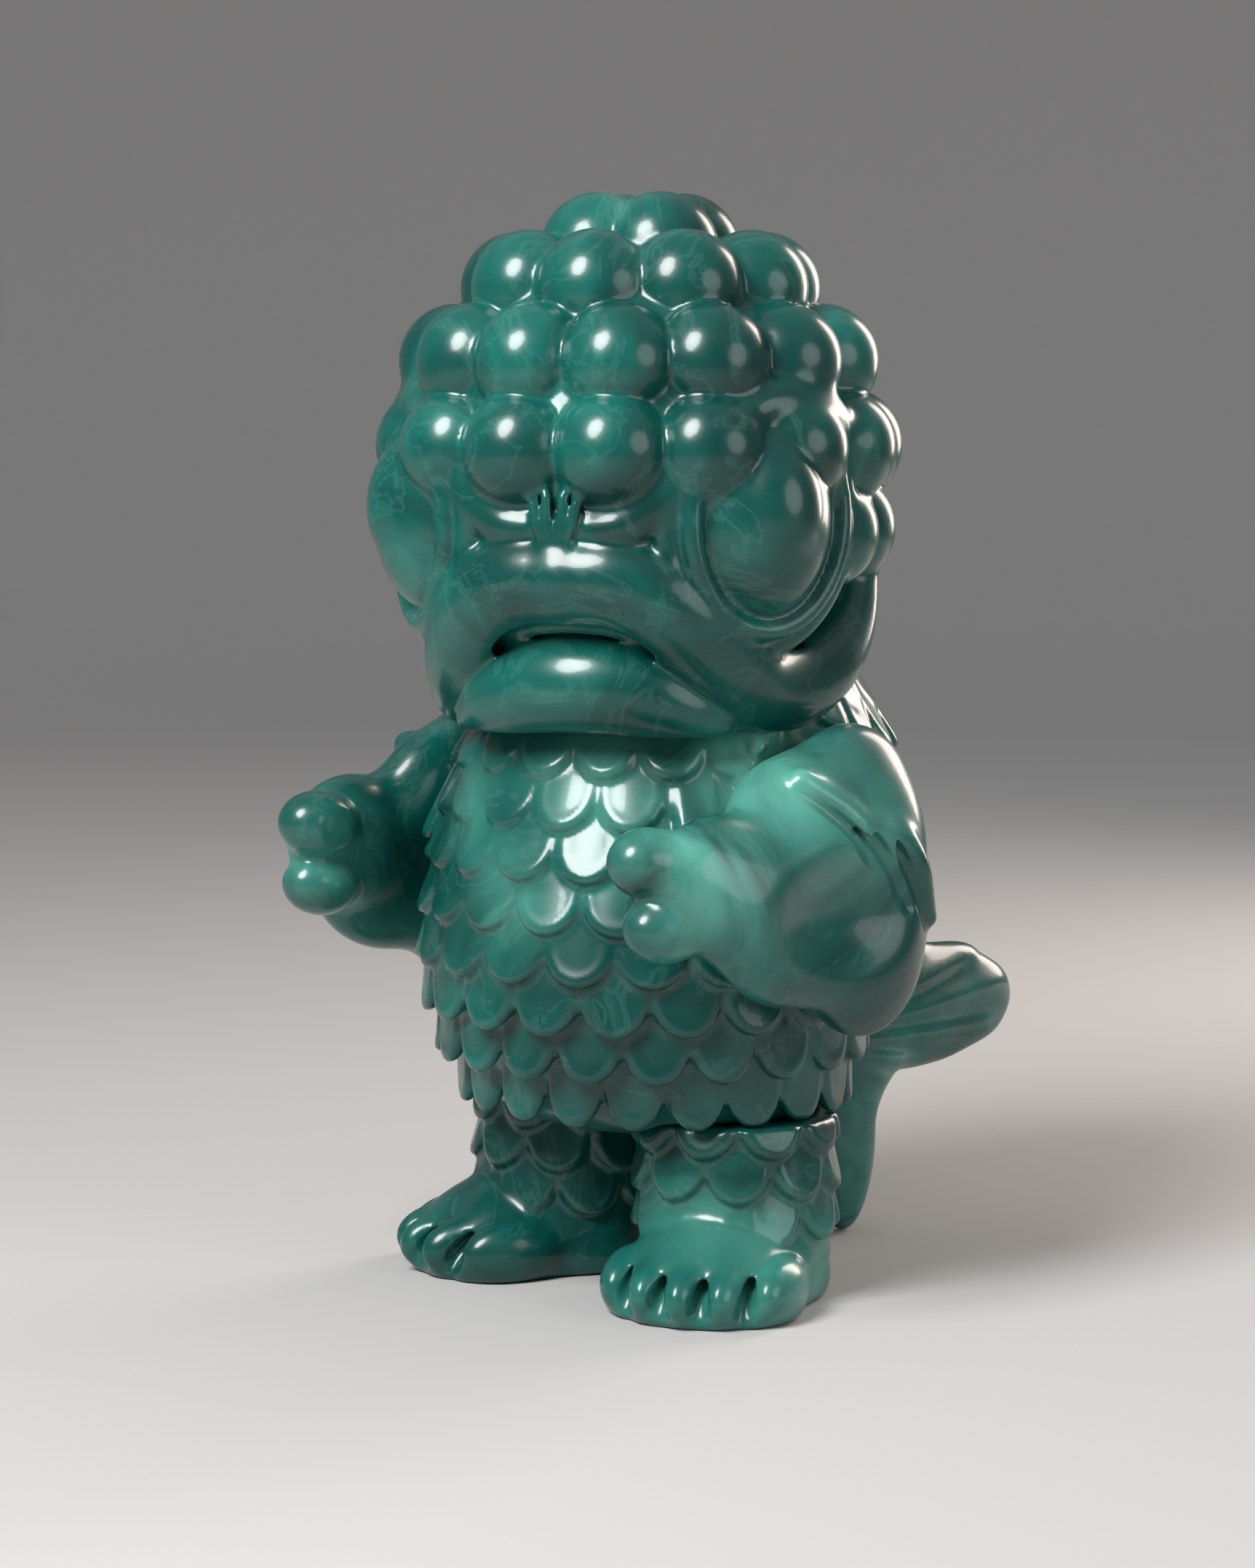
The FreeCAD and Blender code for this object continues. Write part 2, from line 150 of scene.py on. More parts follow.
class Clay:
    """A block of space that holds the distance to a sculpted surface, negative inside it."""

    def __init__(self, low, high):
        self.low = np.array(low, float)
        count = np.ceil((np.array(high) - self.low) / CELL).astype(int) + 1
        self.lines = [(self.low[i] + CELL * np.arange(count[i])).astype(np.float32) for i in range(3)]
        self.field = np.full(count, FAR, np.float32)

    def grid(self, low=(-1e3,) * 3, high=(1e3,) * 3):
        """The part of the block between two corners, and its x, y and z."""
        cuts = []
        for line, a, b in zip(self.lines, low, high):
            cuts.append(slice(*np.searchsorted(line, (a, b))))
        x, y, z = (line[cut] for line, cut in zip(self.lines, cuts))
        return tuple(cuts), x[:, None, None], y[None, :, None], z[None, None, :]

    def local(self, centre, reach, axes):
        """The block near a point, in that point's own frame."""
        cuts, x, y, z = self.grid(np.subtract(centre, reach), np.add(centre, reach))
        x, y, z = x - centre[0], y - centre[1], z - centre[2]
        own = [x * row[0] + y * row[1] + z * row[2] for row in np.asarray(axes, np.float32)]
        return cuts, own

    def join(self, cuts, near, blend):
        """Adds a shape, given its distances over a part of the block."""
        self.field[cuts] = soft_min(self.field[cuts], near, blend)

    def carve(self, cuts, near, blend):
        """Takes a shape away, given its distances over a part of the block."""
        self.field[cuts] = -soft_min(-self.field[cuts], near, blend)

    def blob(self, centre, half, axes=PLAIN_AXES, blend=1.0, carve=False):
        """An ellipsoid with half sizes along its own axes, added or carved away."""
        cuts, own = self.local(centre, max(half) + 2 * blend + 2, axes)
        near = ellipsoid_distance(own, half)
        (self.carve if carve else self.join)(cuts, near, blend)

    def tube(self, points, radii, blend=1.0, carve=False):
        """A round rope through points, with a radius at each, its ends rounded."""
        points, radii = smooth_path(points, radii)
        low = points.min(0) - max(radii) - 2 * blend - 2
        high = points.max(0) + max(radii) + 2 * blend + 2
        cuts, x, y, z = self.grid(low, high)
        near = np.full(np.broadcast_shapes(x.shape, y.shape, z.shape), FAR, np.float32)
        for a, b, ra, rb in zip(points, points[1:], radii, radii[1:]):
            reach = max(ra, rb) + 2 * blend + 3
            inner = []
            for line, p, q in zip((x[:, 0, 0], y[0, :, 0], z[0, 0, :]), a, b):
                inner.append(slice(*np.searchsorted(line, (min(p, q) - reach, max(p, q) + reach))))
            px = x[inner[0]] - a[0]
            py = y[:, inner[1]] - a[1]
            pz = z[:, :, inner[2]] - a[2]
            d = b - a
            along = np.clip((px * d[0] + py * d[1] + pz * d[2]) / np.dot(d, d), 0, 1)
            gone = (px - along * d[0]) ** 2 + (py - along * d[1]) ** 2 + (pz - along * d[2]) ** 2
            here = np.sqrt(gone) - (ra + (rb - ra) * along)
            near[tuple(inner)] = np.minimum(near[tuple(inner)], here)
        (self.carve if carve else self.join)(cuts, near, blend)

    def cylinder(self, centre, radius, half_length, axes, blend=0.4, carve=False):
        """A cylinder along its frame's third axis."""
        cuts, own = self.local(centre, math.hypot(radius, half_length) + 2 * blend + 2, axes)
        near = np.maximum(np.hypot(own[0], own[1]) - radius, np.abs(own[2]) - half_length)
        (self.carve if carve else self.join)(cuts, near, blend)

    def soften(self, times=1):
        """Rounds every crease and edge a little, as a mould's do."""
        field = np.clip(self.field, -4 * CELL, 4 * CELL)
        for _ in range(times):
            for axis in range(3):
                middle = np.moveaxis(field, axis, 0)
                middle[1:-1] = 0.25 * middle[:-2] + 0.5 * middle[1:-1] + 0.25 * middle[2:]
        self.field = field

    def mesh(self, name, turn=0.0, mirror=False):
        """The surface as a closed quad mesh that faces outward, in metres in the figure's frame."""
        grid = openvdb.FloatGrid(4 * CELL)
        grid.copyFromArray(np.ascontiguousarray(np.clip(self.field, -4 * CELL, 4 * CELL)), (0, 0, 0), 0.0)
        points, triangles, quads = grid.convertToPolygons(isovalue=0.0, adaptivity=0.0)
        points = np.asarray(points, float) * CELL + self.low
        quads = np.asarray(quads, np.int32)
        if mirror:
            points[:, 0] *= -1
            quads = quads[:, ::-1]
        c, s = math.cos(math.radians(turn)), math.sin(math.radians(turn))
        x, y = points[:, 0].copy(), points[:, 1].copy()
        points[:, 0] = c * x - s * y
        points[:, 1] = s * x + c * y + NECK_Y
        return mesh_object(name, points * MM, quads)


def ellipsoid_distance(own, half):
    """A close estimate of the distance from an ellipsoid's surface."""
    first = np.sqrt(sum((at / size) ** 2 for at, size in zip(own, half))) + 1e-6
    second = np.sqrt(sum((at / size**2) ** 2 for at, size in zip(own, half))) + 1e-6
    return first * (first - 1) / second


def smooth_path(points, radii, per_span=7):
    """Points and radii along a smooth curve through the given ones."""
    rows = np.column_stack((np.array(points, float), np.array(radii, float)))
    ends = np.vstack((2 * rows[0] - rows[1], rows, 2 * rows[-1] - rows[-2]))
    made = []
    for a, b, c, d in zip(ends, ends[1:], ends[2:], ends[3:]):
        for step in range(per_span):
            t = step / per_span
            made.append(0.5 * (2 * b + (c - a) * t + (2 * a - 5 * b + 4 * c - d) * t**2
                               + (3 * b - a - 3 * c + d) * t**3))
    made.append(rows[-1])
    made = np.array(made)
    return made[:, :3], made[:, 3]


def mesh_object(name, points, quads):
    """A smooth-shaded object made of four-sided faces."""
    mesh = bpy.data.meshes.new(name)
    mesh.vertices.add(len(points))
    mesh.vertices.foreach_set("co", points.astype(np.float32).ravel())
    mesh.loops.add(quads.size)
    mesh.loops.foreach_set("vertex_index", quads.ravel())
    mesh.polygons.add(len(quads))
    mesh.polygons.foreach_set("loop_start", np.arange(0, quads.size, 4, dtype=np.int32))
    mesh.polygons.foreach_set("use_smooth", np.ones(len(quads), bool))
    mesh.update(calc_edges=True)
    mesh.validate()
    made = bpy.data.objects.new(name, mesh)
    bpy.context.scene.collection.objects.link(made)
    return made


# ---------------------------------------------------------------- head

def round_head(degrees, distance, height):
    """A point about the skull's axis: degrees from the front towards the left side."""
    a = math.radians(degrees)
    return (distance * math.sin(a), SKULL_MIDDLE[1] - distance * math.cos(a), height)


def bubble_directions():
    """Unit directions of the head's bubbles, in rows that are turned by half a step in turn."""
    directions = []
    for elevation, count, free_front, offset in BUBBLE_ROWS:
        e = math.radians(elevation)
        for step in range(count):
            turn = 360.0 * (step + offset) / count
            if min(turn, 360 - turn) < free_front:
                continue
            t = math.radians(turn)
            directions.append(np.array((math.cos(e) * math.sin(t), -math.cos(e) * math.cos(t), math.sin(e))))
    return directions


def sculpt_upper_lip(clay):
    """A thick lip with an inner roll that arches over the mouth and runs on under the eyes."""
    route = (
        (0, 38.0, 132.5, 7.8),
        (14, 38.0, 132.0, 8.2),
        (28, 36.5, 127.5, 9.0),
        (42, 33.0, 119.5, 9.4),
        (58, 30.0, 113.0, 9.0),
        (76, 30.5, 112.0, 8.2),
        (92, 34.0, 115.5, 7.0),
        (105, 37.0, 123.0, 5.8),
        (113, 39.0, 134.0, 4.4),
    )
    inner = (
        (0, 37.0, 126.5, 3.8),
        (16, 36.0, 125.0, 3.8),
        (30, 33.0, 120.0, 3.8),
        (44, 29.0, 112.5, 3.4),
    )
    for side in (1, -1):
        for path, blend in ((route, 1.2), (inner, 1.0)):
            points = [round_head(side * turn, out, height) for turn, out, height, _ in path]
            clay.tube(points, [thick for *_, thick in path], blend=blend)
        groove = []
        for turn, out, height, thick in route[:6]:
            slant = math.radians(min(turn, 50))
            above = height + thick * math.cos(slant) + 1.6
            groove.append(round_head(side * (turn + 0.2 * thick), out + 1.5, above))
        clay.tube(groove, [1.9] * len(groove), blend=1.6, carve=True)


def sculpt_lower_lip(clay):
    """A pouting roll under the arch, and the slit of the mouth between the two lips."""
    low = []
    for turn in range(-42, 43, 14):
        drop = 7.0 * (turn / 42) ** 2
        low.append(round_head(turn, 31.5, 113.6 - drop))
    clay.tube(low, [5.2, 7.4, 8.4, 8.8, 8.4, 7.4, 5.2], blend=0.4)
    mouth = []
    for turn in range(-40, 41, 10):
        drop = 8.0 * (turn / 40) ** 2
        mouth.append(round_head(turn, 38.5 - 0.004 * turn**2, 123.0 - drop))
    clay.tube(mouth, [0.8] + [1.7] * 7 + [0.8], blend=0.8, carve=True)


def sculpt_eye(clay, side):
    """A big domed eye on the side of the head, an iris dome on it and two lid rolls round it."""
    outward = unit((side * math.sin(math.radians(EYE_TURN)), -math.cos(math.radians(EYE_TURN)), 0.0))
    middle = np.array(round_head(side * EYE_TURN, 36.5, EYE_Z))
    axes = axes_from(outward, -UP)
    clay.blob(middle, (16.5, 19.5, 8.0), axes, blend=3.0)
    for wide, tall, thick, out in ((15.6, 19.4, 1.9, 4.6), (18.6, 22.6, 2.2, 1.0)):
        rim = []
        for step in range(25):
            a = 2 * math.pi * step / 24
            rim.append(middle + wide * math.cos(a) * axes[0] + tall * math.sin(a) * axes[1] + out * outward)
        clay.tube(rim, [thick] * 25, blend=1.4)
    clay.blob(middle + 1.6 * outward, (13.4, 17.8, 11.4), axes, blend=0.3)
    clay.blob(middle + 1.5 * UP + 4.0 * outward, (10.0, 13.2, 10.4), axes, blend=0.4)


def sculpt_brow(clay, side):
    """A thick roll from the nose over the eye, a thinner one above it, and the nose folds."""
    route = (
        (3, 39.5, 141.0, 3.6),
        (15, 40.0, 141.5, 4.6),
        (27, 39.5, 147.5, 5.0),
        (39, 39.0, 156.0, 5.0),
        (53, 39.0, 162.0, 4.8),
        (68, 39.5, 162.0, 4.4),
        (80, 40.0, 156.0, 4.0),
        (88, 40.5, 147.0, 3.4),
    )
    points = [round_head(side * turn, out, height) for turn, out, height, _ in route]
    clay.tube(points, [thick for *_, thick in route], blend=2.0)
    for spread in (1.6, 4.4):
        fold = [
            round_head(side * spread * 1.3, 43.5, 147),
            round_head(side * spread, 44.0, 142),
            round_head(side * spread * 0.5, 43.6, 137),
        ]
        clay.tube(fold, [1.0, 0.9, 0.7], blend=0.6)


def sculpt_head():
    """A round skull under a field of bubbles, with brows, side eyes and heavy lips, cut flat below."""
    clay = Clay((-56, -64, 98), (56, 50, 204))
    cuts, x, y, z = clay.grid()
    own = (x, y - SKULL_MIDDLE[1], z - SKULL_MIDDLE[2])
    clay.join(cuts, ellipsoid_distance(own, SKULL_HALF), 0)
    clay.blob((0, -12, 130), (27, 25, 19), blend=6)
    clay.blob((0, 3, 121), (28, 28, 17), blend=8)
    clay.cylinder((0, 0, 111), 25.5, 7.0, PLAIN_AXES, blend=4)
    for direction in bubble_directions():
        clay.blob(SKULL_MIDDLE + BUBBLE_SEAT * direction * SKULL_HALF, (BUBBLE,) * 3, blend=0.5)
    for side in (1, -1):
        sculpt_brow(clay, side)
        sculpt_eye(clay, side)
    sculpt_upper_lip(clay)
    sculpt_lower_lip(clay)
    clay.cylinder((0, 0, NECK[2] + GAP - 20), 60, 20, PLAIN_AXES, blend=0.6, carve=True)
    clay.soften()
    return clay.mesh("head", turn=HEAD_TURN)


# ---------------------------------------------------------------- torso

def ring_at(height):
    """Half width, half depth and middle of the torso at a height."""
    table = np.array(TORSO_RINGS, float)
    return [np.interp(height, table[:, 0], table[:, i]) for i in (1, 2, 3)]


def torso_point(turn, height):
    """A point of the torso's plain surface and its outward direction, turn in degrees from the front."""
    a = math.radians(turn)
    half_width, half_depth, middle = ring_at(height)
    above = ring_at(height + 1)
    point = np.array((half_width * math.sin(a), middle - half_depth * math.cos(a), height))
    slope = (half_width + half_depth - above[0] - above[1]) / 2
    out = unit((math.sin(a) / half_width, -math.cos(a) / half_depth, slope / 42))
    return point, out


def add_scale(clay, point, out, width, length, rise=0.3):
    """One moulded scale: a domed U-shaped pad with a rim, whose lower edge stands off the surface."""
    thick, edge = 1.35, 1.0
    axes = axes_from(out, -UP)
    cuts, (across, along, high) = clay.local(point, 2 * max(width, length) + 1, axes)
    lower = np.hypot(across, np.maximum(along, 0) * width / length)
    plan = np.maximum(lower - width, -along - 1.5 * length)
    rim = 0.25 * np.clip(1 - np.abs(plan + 1.6) / 1.2, 0, 1)
    cap = np.abs(high - rise * along + across * across / 50) - thick - rim + edge
    side = plan + edge
    near = np.hypot(np.maximum(side, 0), np.maximum(cap, 0)) + np.minimum(np.maximum(side, cap), 0) - edge
    clay.join(cuts, near, 0.3)


def torso_scales(clay):
    """Rows of staggered scales from the hips to the chest."""
    for row in range(SCALE_ROWS):
        height = FIRST_SCALES_Z + SCALE_STEP * row
        half_width, half_depth, _ = ring_at(height)
        width = 1.04 * math.pi * (half_width + half_depth) / (2 * SCALES_ROUND)
        for step in range(SCALES_ROUND):
            turn = 360.0 * (step + 0.5 * (row % 2)) / SCALES_ROUND
            point, out = torso_point(turn, height + 3.5)
            add_scale(clay, point, out, width, 7.0)


def mane(clay):
    """Long feather-like scales that fall from the collar over the shoulders and back."""
    for row in range(MANE_ROWS):
        first = 70 - 8 * row
        count = 19 + row % 2
        for step in range(count):
            turn = first + (360 - 2 * first) * (step + 0.5 * (row % 2)) / (count - 1 + row % 2)
            point, out = torso_point(turn, MANE_Z - MANE_STEP * row)
            add_scale(clay, point + 1.4 * out, out, 4.2, 9.0)


def sculpt_torso():
    """A barrel body drawn in at the hips, covered in scales, with seats cut for the limbs and head."""
    clay = Clay((-54, -56, 24), (54, 54, 122))
    cuts, x, y, z = clay.grid()
    half_width, half_depth, middle = ring_at(z)
    own_y = y - middle
    share = np.sqrt((x / half_width) ** 2 + (own_y / half_depth) ** 2) + 1e-6
    near = np.sqrt(x**2 + own_y**2) * (1 - 1 / share) * 0.97
    clay.join(cuts, near.astype(np.float32), 0)
    clay.carve(cuts, z - SKIRT_Z, 8)
    torso_scales(clay)
    mane(clay)
    carve_torso(clay)
    clay.soften()
    return clay.mesh("torso")


def carve_torso(clay):
    """Cuts the seats that the limbs turn against, and the bowl under the head."""
    cuts, x, y, z = clay.grid()
    for side in (1, -1):
        room = np.hypot(x - side * HIP[0], y) - HIP_ROOM
        clay.carve(cuts, np.maximum(room, z - HIP[2]), 0.6)
        across = side * x - SHOULDER[0]
        swept = np.hypot(y - (SHOULDER[1] - NECK_Y), z - SHOULDER[2]) - SHOULDER_ROOM
        clay.carve(cuts, np.maximum(swept, -across), 0.8)
        clay.carve(cuts, np.maximum(swept - 24, 4.9 - across), 0.8)
    tail = np.hypot(x, z - TAIL_ROOT[2]) - TAIL_ROOM
    clay.carve(cuts, np.maximum(tail, (TAIL_ROOT[1] - NECK_Y) - y), 0.6)
    bowl = (np.hypot(x, y) - 24 - (z - NECK[2]) * 0.9) * 0.74
    clay.carve(cuts, np.maximum(bowl, NECK[2] - z), 1.0)
    slope = (NECK[2] + 1.5 - z) + np.maximum(y + 14, 0) * 0.36
    clay.carve(cuts, np.maximum(slope * 0.94, NECK[2] - z), 1.5)


# ---------------------------------------------------------------- arms

# Middle, half sizes and blend of each lobe of the left arm.
ARM_LOBES = (
    ((45.5, 2, 91), (9, 15, 15), 4),
    ((49.5, -4, 80), (8.6, 21, 18), 6),
    ((51, 0, 67), (7.6, 14.5, 16), 6),
    ((51, -17, 74), (7.8, 21, 16), 6),
    ((46.5, -33, 81), (7.8, 14, 12), 6),
    ((43.5, -12, 90), (7.5, 13, 11), 6),
)
FINGERS = (
    ((42, -45, 85), (6.4, 8.0, 6.2)),
    ((43.5, -43, 73.5), (6, 8.0, 5.8)),
)


def sculpt_arm(name, mirror):
    """A thick flipper with two finger lobes, a dished outer side and folds by the shoulder."""
    clay = Clay((26, -58, 44), (66, 30, 112))
    for centre, half, blend in ARM_LOBES:
        clay.blob(centre, half, blend=blend)
    for centre, half in FINGERS:
        clay.blob(centre, half, tipped(-8), blend=2.0)
    clay.blob((63, -12, 74), (9, 17, 11), blend=5, carve=True)
    for fold in range(3):
        forward = 6.5 * fold
        start = (50.0 + 0.8 * fold, -15 + forward, 97 - 2.0 * fold)
        middle = (55.0 + 0.3 * fold, -6 + forward, 89 - 3.0 * fold)
        end = (55.6, 3 + 0.8 * forward, 78 - 3.5 * fold)
        clay.tube((start, middle, end), (2.6, 3.0, 1.2), blend=1.6)
        crease = [(x + 1.8, y - 3.2, z - 0.6) for x, y, z in (start, middle, end)]
        clay.tube(crease, (0.6, 1.3, 0.6), blend=1.2, carve=True)
    cuts, x, y, z = clay.grid()
    clay.carve(cuts, x - (SHOULDER[0] + GAP), 0.6)
    clay.soften()
    return clay.mesh(name, mirror=mirror)


# ---------------------------------------------------------------- legs

TOE_OUT = 24.0
TOE_STEP = 7.2
LEG_RADIUS = 17.0
LEG_SCALES_ROUND = 9


def foot_place(across, along, height):
    """A point of the left foot: across and ahead of the leg's axis, then turned out."""
    a = math.radians(TOE_OUT)
    x = across * math.cos(a) + along * math.sin(a)
    y = across * math.sin(a) - along * math.cos(a)
    return (HIP[0] + x, y, height)


def sculpt_leg(name, mirror):
    """A round leg with rows of scales on a broad foot with five toes."""
    clay = Clay((-4, -46, -4), (52, 26, 44))
    axes = turned(TOE_OUT)
    clay.cylinder((HIP[0], 0, 21), LEG_RADIUS, HIP[2] - GAP - 21, PLAIN_AXES, blend=0.5)
    clay.blob((HIP[0], 0, 4), (17.4, 17.4, 12), blend=3)
    clay.blob(foot_place(0, 11, 5), (16.0, 17, 13), axes, blend=4)
    clay.blob(foot_place(0, 18, 3), (18, 14, 10), axes, blend=4)
    for toe in range(5):
        across = (toe - 2) * TOE_STEP
        ahead = 27.5 - 0.035 * across * across
        clay.blob(foot_place(across, ahead - 3, 5.2), (4.3, 10.0, 6.0), axes, blend=0.8)
    for gap in range(4):
        across = (gap - 1.5) * TOE_STEP
        ahead = 30 - 0.035 * across * across
        groove = (
            foot_place(0.6 * across, ahead - 16, 13.4),
            foot_place(0.9 * across, ahead - 8, 10.6),
            foot_place(across, ahead, 6.0),
            foot_place(1.06 * across, ahead + 4, 1.0),
        )
        clay.tube(groove, (0.5, 1.0, 1.5, 1.6), blend=1.6, carve=True)
    for row, height in enumerate((18.5, 26.5, 34.5)):
        for step in range(LEG_SCALES_ROUND):
            turn = math.radians(TOE_OUT + 360.0 * (step + 0.5 * (row % 2)) / LEG_SCALES_ROUND)
            out = np.array((math.sin(turn), -math.cos(turn), 0.0))
            point = np.array((HIP[0], 0, height)) + (LEG_RADIUS - 0.4) * out
            add_scale(clay, point, out, 6.0, 6.6, rise=0.24)
    cuts, x, y, z = clay.grid()
    clay.carve(cuts, z, 1.2)
    clay.carve(cuts, (HIP[2] - GAP) - z, 0.5)
    clay.soften()
    return clay.mesh(name, mirror=mirror)


# ---------------------------------------------------------------- tail

def sculpt_tail():
    """A forked fin with ribs along its upper lobe; the lower lobe stands on the floor."""
    clay = Clay((-16, 32, -4), (16, 112, 62))
    clay.blob((0, 47, 43), (7.0, 12, 12), blend=3)
    clay.blob((0, 64, 42), (6.0, 20, 11), blend=5)
    clay.blob((0, 76, 42.5), (5.4, 29, 12.5), tipped(-3), blend=5)
    clay.blob((0, 56, 33), (5.8, 10, 9), blend=5)
    clay.blob((0, 54, 20), (5.4, 7.5, 20), blend=5)
    cuts, x, y, z = clay.grid()
    from_root = np.arctan2(z - 40, y - 34)
    ribs = np.cos(from_root * 42) * np.clip((y - 50) / 14, 0, 1) * np.clip((z - 28) / 6, 0, 1)
    clay.field += (0.45 * ribs * np.clip((104 - y) / 10, 0, 1)).astype(np.float32)
    clay.carve(cuts, y - (TAIL_ROOT[1] - NECK_Y + GAP), 0.5)
    clay.soften()
    return clay.mesh("tail")


# ---------------------------------------------------------------- material

def node(tree, kind, **inputs):
    """A shader node with its plain inputs set; names use _ for a space."""
    made = tree.nodes.new(kind)
    for key, value in inputs.items():
        made.inputs[key.replace("_", " ")].default_value = value
    return made


def ramp(tree, factor, stops):
    """A colour ramp driven by a factor; gives its colour output."""
    made = tree.nodes.new("ShaderNodeValToRGB")
    made.color_ramp.elements[0].position, made.color_ramp.elements[0].color = stops[0]
    made.color_ramp.elements[1].position, made.color_ramp.elements[1].color = stops[-1]
    for position, colour in stops[1:-1]:
        made.color_ramp.elements.new(position).color = colour
    tree.links.new(factor, made.inputs["Fac"])
    return made.outputs["Color"]


def mixed(tree, factor, below, above):
    """One colour laid over another by a factor; gives the mixed colour output."""
    made = tree.nodes.new("ShaderNodeMix")
    made.data_type = "RGBA"
    tree.links.new(factor, made.inputs["Factor"])
    tree.links.new(below, made.inputs["A"])
    made.inputs["B"].default_value = above
    return made.outputs["Result"]


def paint_pale(piece, spots):
    """Marks where the vinyl is sea-foam pale: soft round spots in millimetres from the neck's axis."""
    count = len(piece.data.vertices)
    points = np.empty(count * 3, np.float32)
    piece.data.vertices.foreach_get("co", points)
    points = points.reshape(-1, 3) / MM - np.array((0, NECK_Y, 0), np.float32)
    amount = np.zeros(count, np.float32)
    for centre, reach, strength in spots:
        away = np.linalg.norm(points - np.array(centre, np.float32), axis=1) / reach
        amount = np.maximum(amount, strength * np.exp(-away**2).astype(np.float32))
    piece.data.attributes.new("pale", "FLOAT", "POINT").data.foreach_set("value", amount)


DARK_TEAL = (0.001, 0.036, 0.031, 1)
DEEP_TEAL = (0.002, 0.072, 0.060, 1)
TEAL = (0.006, 0.120, 0.098, 1)
LIGHT_TEAL = (0.050, 0.230, 0.185, 1)
VEIN = (0.16, 0.36, 0.30, 1)
SEA_FOAM = (0.115, 0.40, 0.315, 1)


def grey(level):
    return (level, level, level, 1)


def marbled_vinyl():
    """Deep teal vinyl with sea-foam swirls, fine pale veins and a high gloss."""
    material = bpy.data.materials.new("marbled_vinyl")
    material.use_nodes = True
    tree = material.node_tree
    link = tree.links.new
    shader = tree.nodes["Principled BSDF"]
    shader.inputs["Roughness"].default_value = 0.27
    shader.inputs["Specular IOR Level"].default_value = 0.42
    shader.inputs["IOR"].default_value = 1.5
    shader.inputs["Coat Weight"].default_value = 0.25
    shader.inputs["Coat Roughness"].default_value = 0.06
    shader.inputs["Subsurface Weight"].default_value = 0.2
    shader.inputs["Subsurface Radius"].default_value = (0.3, 1.0, 0.85)
    shader.inputs["Subsurface Scale"].default_value = 0.003
    place = tree.nodes.new("ShaderNodeTexCoord")
    warp = node(tree, "ShaderNodeTexNoise", Scale=20.0, Detail=3.0)
    link(place.outputs["Object"], warp.inputs["Vector"])
    shift = tree.nodes.new("ShaderNodeVectorMath")
    shift.operation = "MULTIPLY_ADD"
    shift.inputs[1].default_value = (0.035, 0.035, 0.035)
    link(warp.outputs["Color"], shift.inputs[0])
    link(place.outputs["Object"], shift.inputs[2])
    clouds = node(tree, "ShaderNodeTexNoise", Scale=24.0, Detail=5.0, Roughness=0.55, Distortion=0.8)
    link(shift.outputs[0], clouds.inputs["Vector"])
    tone_stops = ((0.32, DARK_TEAL), (0.48, DEEP_TEAL), (0.60, TEAL), (0.74, LIGHT_TEAL))
    tones = ramp(tree, clouds.outputs["Fac"], tone_stops)
    swirls = node(tree, "ShaderNodeTexNoise", Scale=24.0, Detail=6.0, Roughness=0.6, Distortion=1.6)
    link(shift.outputs[0], swirls.inputs["Vector"])
    veins = ramp(tree, swirls.outputs["Fac"], ((0.482, grey(0)), (0.5, grey(0.09)), (0.52, grey(0))))
    streaked = mixed(tree, veins, tones, VEIN)
    pale = tree.nodes.new("ShaderNodeAttribute")
    pale.attribute_name = "pale"
    broken = tree.nodes.new("ShaderNodeMath")
    broken.operation = "MULTIPLY"
    patches = ramp(tree, clouds.outputs["Fac"], ((0.36, grey(0.15)), (0.56, grey(1))))
    link(pale.outputs["Fac"], broken.inputs[0])
    link(patches, broken.inputs[1])
    foamed = mixed(tree, broken.outputs[0], streaked, SEA_FOAM)
    link(foamed, shader.inputs["Base Color"])
    return material


# ---------------------------------------------------------------- stage

def emitter(name, place, size, watts, target, colour=(1, 1, 1)):
    """A soft elliptical lamp that faces a target."""
    light = bpy.data.lights.new(name, "AREA")
    light.shape = "ELLIPSE"
    light.size, light.size_y = size
    light.energy = watts
    light.color = colour
    made = bpy.data.objects.new(name, light)
    made.location = place
    made.rotation_euler = (Vector(target) - Vector(place)).to_track_quat("-Z", "Y").to_euler()
    bpy.context.scene.collection.objects.link(made)


VIEW_AZIMUTH = 44.0


def seen_from_camera(sideways, towards, height):
    """A point in metres from the neck's axis: to the camera's right, towards the camera and up."""
    a = math.radians(VIEW_AZIMUTH)
    x = sideways * math.cos(a) + towards * math.sin(a)
    y = sideways * math.sin(a) - towards * math.cos(a)
    return (x, y + NECK_Y * MM, height)


def make_camera():
    """A long lens a little above the figure, to its left front."""
    lens = bpy.data.cameras.new("camera")
    lens.lens = 94.0
    lens.sensor_width = 36.0
    camera = bpy.data.objects.new("camera", lens)
    camera.location = seen_from_camera(-0.0046, 0.75, 0.172)
    target = Vector(seen_from_camera(-0.0046, 0.0, 0.092))
    camera.rotation_euler = (target - camera.location).to_track_quat("-Z", "Y").to_euler()
    bpy.context.scene.collection.objects.link(camera)
    bpy.context.scene.camera = camera


FLOOR_RADIUS = 1.1
WALL_BEND = 0.9
WALL_TOP = 1.6


